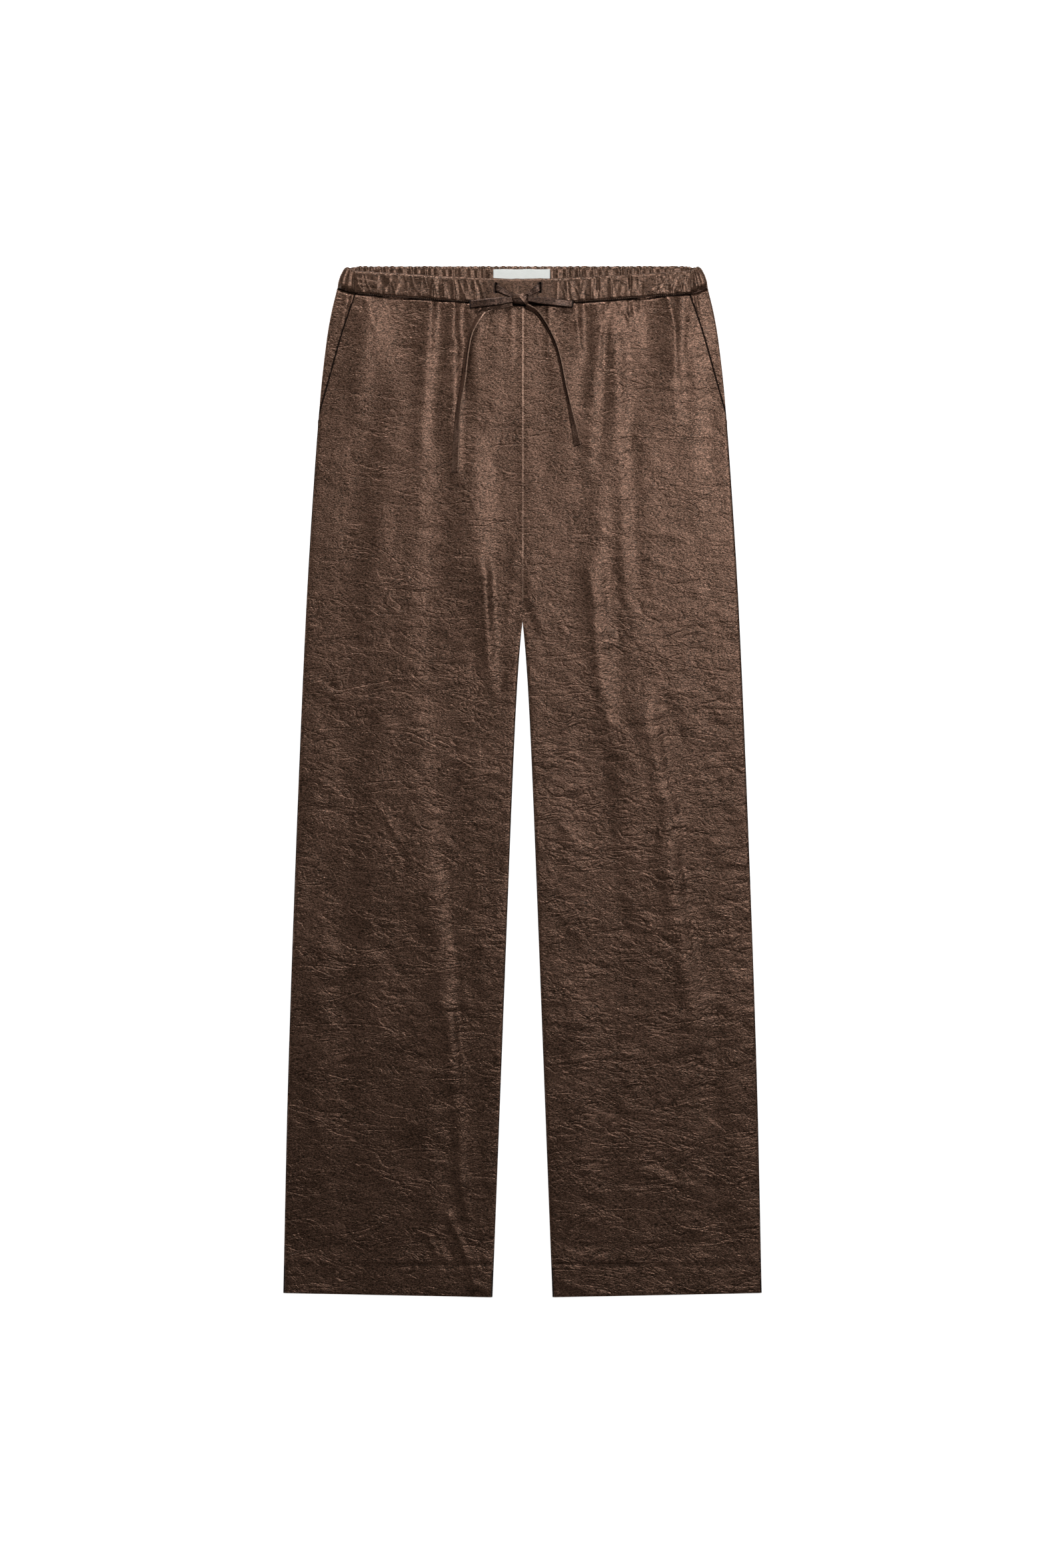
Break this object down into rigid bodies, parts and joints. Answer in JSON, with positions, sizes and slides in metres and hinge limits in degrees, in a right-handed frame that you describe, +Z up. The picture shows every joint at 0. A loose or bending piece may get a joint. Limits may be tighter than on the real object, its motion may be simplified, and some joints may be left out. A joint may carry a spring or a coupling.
{
  "type": "straight trousers",
  "caption": "Straight-leg pull-on trousers laid flat, with a gathered back waistband, slanted hip pockets and a drawstring tied in a bow.",
  "frame": {"origin": "on the surface that the trousers lie on, under the middle of the garment", "axes": "+X to the wearer's left, +Y from the hems to the waist, +Z up from the surface through the back and then the front"},
  "size_m": [0.492, 1.06, 0.0148],
  "materials": {
    "cloth": "brown satin with a fine crinkled grain",
    "band": "brown satin with a fine crinkled grain, gathered",
    "drawstring": "flat tape of the same brown satin, stitched along its edges",
    "label": "plain off-white woven tape, blank"
  },
  "bodies": {
    "root": {"front_left": "cloth", "front_right": "cloth", "back_left": "cloth", "back_right": "cloth", "pocket_facing_left": "cloth", "pocket_facing_right": "cloth", "waistband_front": "band", "waistband_back": "band", "label": "label", "drawstring_lead_left": "drawstring", "drawstring_lead_right": "drawstring", "bow_loop_left": "drawstring", "bow_loop_right": "drawstring", "bow_knot": "drawstring", "drawstring_tail_left": "drawstring", "drawstring_tail_right": "drawstring"}
  },
  "joints": []
}
